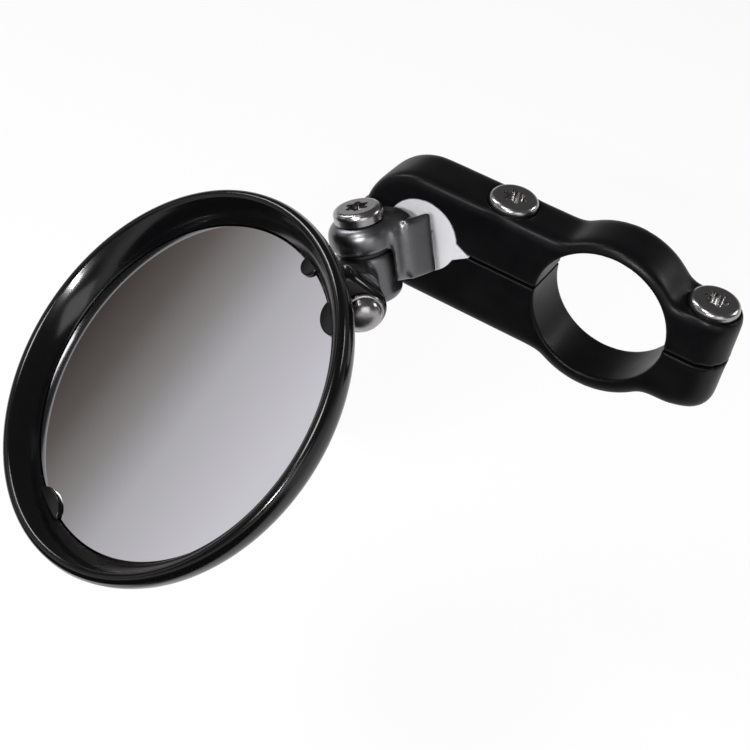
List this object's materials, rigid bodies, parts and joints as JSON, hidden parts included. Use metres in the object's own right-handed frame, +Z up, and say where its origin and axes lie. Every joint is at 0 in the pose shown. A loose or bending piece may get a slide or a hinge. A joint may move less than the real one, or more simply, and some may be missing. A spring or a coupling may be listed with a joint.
{
  "type": "bar end mirror",
  "caption": "Round mirror on a hinged cast arm, with a ball joint held in a split clamp that bolts round a handlebar.",
  "frame": {"origin": "centre of the clamp's bar bore, half way along its width", "axes": "+Y along the bar bore, away from the side the arm leaves; +X from the bore towards the outer clamp screw; +Z up along the clamp screws, towards their heads"},
  "size_m": [0.1014, 0.0774, 0.0546],
  "materials": {
    "clamp_black": "satin",
    "nylon": "satin",
    "screw_steel": "polished",
    "cast_steel": "satin",
    "washer_black": "matte",
    "housing_black": "gloss",
    "pad_foam": "matte",
    "mirror_glass": "mirror"
  },
  "bodies": {
    "clamp": {"clamp_upper": "clamp_black", "clamp_lower": "clamp_black", "ball_socket": "nylon", "inner_clamp_screw": "screw_steel", "outer_clamp_screw": "screw_steel"},
    "ball": {"ball": "screw_steel"},
    "arm": {"arm": "cast_steel", "pivot_washer": "washer_black"},
    "link": {"swivel_link": "cast_steel", "pivot_screw": "screw_steel", "hinge_screw": "screw_steel", "hinge_washer": "washer_black"},
    "head": {"mirror_housing": "housing_black", "glass_pad": "pad_foam", "mirror_glass": "mirror_glass"}
  },
  "joints": [
    {"name": "ball_swing", "type": "hinge", "parent": "clamp", "child": "ball", "pos_m": [-0.03175, 0, 0], "axis": [0, 0, 1], "range_deg": [-1, 16]},
    {"name": "stem_roll", "type": "hinge", "parent": "ball", "child": "arm", "pos_m": [-0.03175, 0, 0], "axis": [-0.2862, -0.958, -0.0194], "range_deg": [-30, 30]},
    {"name": "arm_pivot", "type": "hinge", "parent": "arm", "child": "link", "pos_m": [-0.03729, -0.01325, -0.00053], "axis": [-0.3798, 0.0091, 0.925], "range_deg": [-30, 30]},
    {"name": "mirror_hinge", "type": "hinge", "parent": "link", "child": "head", "pos_m": [-0.03121, -0.02424, -0.00232], "axis": [0.6677, -0.7209, 0.1857], "range_deg": [-12, 30]}
  ]
}
